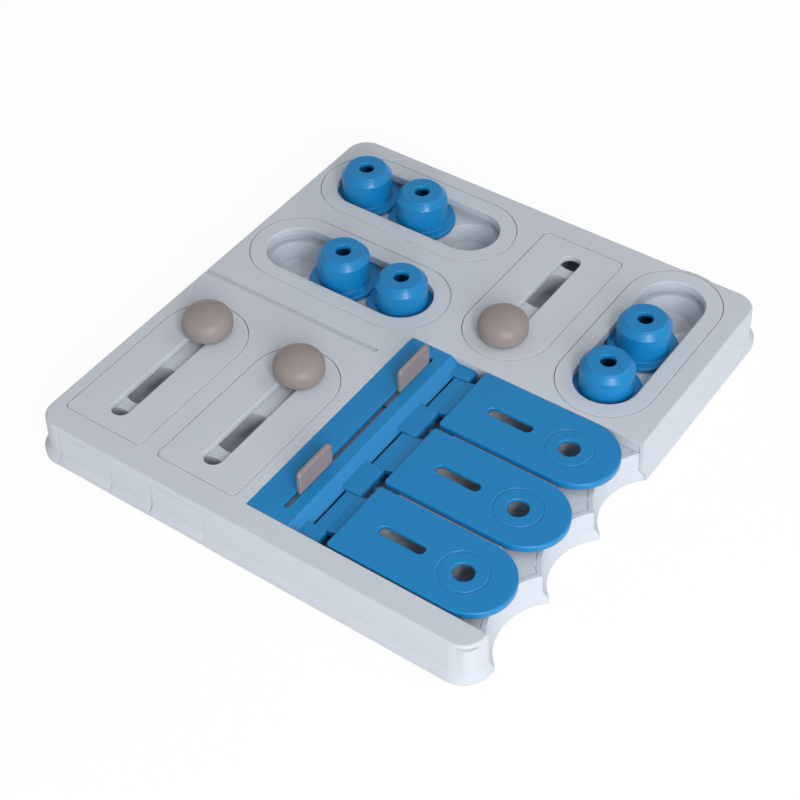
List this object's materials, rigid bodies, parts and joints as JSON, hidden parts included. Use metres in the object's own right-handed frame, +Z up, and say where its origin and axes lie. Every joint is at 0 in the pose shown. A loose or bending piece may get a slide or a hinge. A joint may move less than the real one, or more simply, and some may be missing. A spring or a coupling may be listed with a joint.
{
  "type": "dog puzzle feeder toy",
  "caption": "Flat treat puzzle board for a dog, with sliding knob drawers, sliding cups over wells, hinged lids and sliding lock tabs.",
  "frame": {"origin": "under the middle of the board, on the plane of its feet", "axes": "+Z up, +X towards the side where the lids open, +Y towards the side where the third drawer comes out"},
  "size_m": [0.3076, 0.3286, 0.0463],
  "materials": {
    "grey_plastic": "fine matte texture",
    "blue_plastic": "soft gloss",
    "taupe_plastic": "fine matte texture",
    "foot_rubber": "matte"
  },
  "bodies": {
    "base": {"board": "grey_plastic", "track_tray_1": "grey_plastic", "track_tray_2": "grey_plastic", "track_tray_3": "grey_plastic", "drawer_bay_a": "grey_plastic", "drawer_bay_b": "grey_plastic", "drawer_bay_c": "grey_plastic", "lid_frame": "grey_plastic", "lid_tray": "grey_plastic", "hinge_bed": "grey_plastic", "cover_plate_a": "grey_plastic", "cover_plate_b": "grey_plastic", "cover_plate_c": "grey_plastic", "track_rim_1": "grey_plastic", "track_rim_2": "grey_plastic", "track_rim_3": "grey_plastic", "hinge_panel": "blue_plastic", "rubber_feet": "foot_rubber"},
    "drawer_unit_a": {"drawer_a": "grey_plastic", "knob_a": "taupe_plastic"},
    "drawer_unit_b": {"drawer_b": "grey_plastic", "knob_b": "taupe_plastic"},
    "drawer_unit_c": {"drawer_c": "grey_plastic", "knob_c": "taupe_plastic"},
    "cup_1": {"cup_1": "blue_plastic"},
    "cup_2": {"cup_2": "blue_plastic"},
    "cup_3": {"cup_3": "blue_plastic"},
    "cup_4": {"cup_4": "blue_plastic"},
    "cup_5": {"cup_5": "blue_plastic"},
    "cup_6": {"cup_6": "blue_plastic"},
    "lid_1": {"lid_1": "blue_plastic"},
    "lid_2": {"lid_2": "blue_plastic"},
    "lid_3": {"lid_3": "blue_plastic"},
    "lock_tab_1": {"lock_tab_1": "taupe_plastic"},
    "lock_tab_2": {"lock_tab_2": "taupe_plastic"}
  },
  "joints": [
    {"name": "drawer_a_slide", "type": "slide", "parent": "base", "child": "drawer_unit_a", "axis": [0, -1, 0], "range_m": [0, 0.079]},
    {"name": "drawer_b_slide", "type": "slide", "parent": "base", "child": "drawer_unit_b", "axis": [0, -1, 0], "range_m": [0, 0.079]},
    {"name": "drawer_c_slide", "type": "slide", "parent": "base", "child": "drawer_unit_c", "axis": [0, 1, 0], "range_m": [0, 0.079]},
    {"name": "cup_2_slide", "type": "slide", "parent": "base", "child": "cup_2", "axis": [1, 0, 0], "range_m": [0, 0.0364]},
    {"name": "cup_1_slide", "type": "slide", "parent": "base", "child": "cup_1", "axis": [1, 0, 0], "range_m": [0, 0.0364]},
    {"name": "cup_3_slide", "type": "slide", "parent": "base", "child": "cup_3", "axis": [-1, 0, 0], "range_m": [0, 0.0364]},
    {"name": "cup_4_slide", "type": "slide", "parent": "base", "child": "cup_4", "axis": [-1, 0, 0], "range_m": [0, 0.0364]},
    {"name": "cup_5_slide", "type": "slide", "parent": "base", "child": "cup_5", "axis": [0, 1, 0], "range_m": [0, 0.0364]},
    {"name": "cup_6_slide", "type": "slide", "parent": "base", "child": "cup_6", "axis": [0, 1, 0], "range_m": [0, 0.0364]},
    {"name": "lid_1_hinge", "type": "hinge", "parent": "base", "child": "lid_1", "pos_m": [0.0335, -0.01, 0.02], "axis": [0, -1, 0], "range_deg": [0, 100]},
    {"name": "lid_2_hinge", "type": "hinge", "parent": "base", "child": "lid_2", "pos_m": [0.0335, -0.06387, 0.02], "axis": [0, -1, 0], "range_deg": [0, 100]},
    {"name": "lid_3_hinge", "type": "hinge", "parent": "base", "child": "lid_3", "pos_m": [0.0335, -0.11774, 0.02], "axis": [0, -1, 0], "range_deg": [0, 100]},
    {"name": "lock_tab_1_slide", "type": "slide", "parent": "base", "child": "lock_tab_1", "axis": [0, 1, 0], "range_m": [-0.008, 0.05]},
    {"name": "lock_tab_2_slide", "type": "slide", "parent": "base", "child": "lock_tab_2", "axis": [0, 1, 0], "range_m": [-0.05, 0.003]}
  ],
  "couplings": [
    {"joint": "cup_1_slide", "follows": "cup_2_slide", "ratio": 1},
    {"joint": "cup_4_slide", "follows": "cup_3_slide", "ratio": 1},
    {"joint": "cup_6_slide", "follows": "cup_5_slide", "ratio": 1}
  ]
}
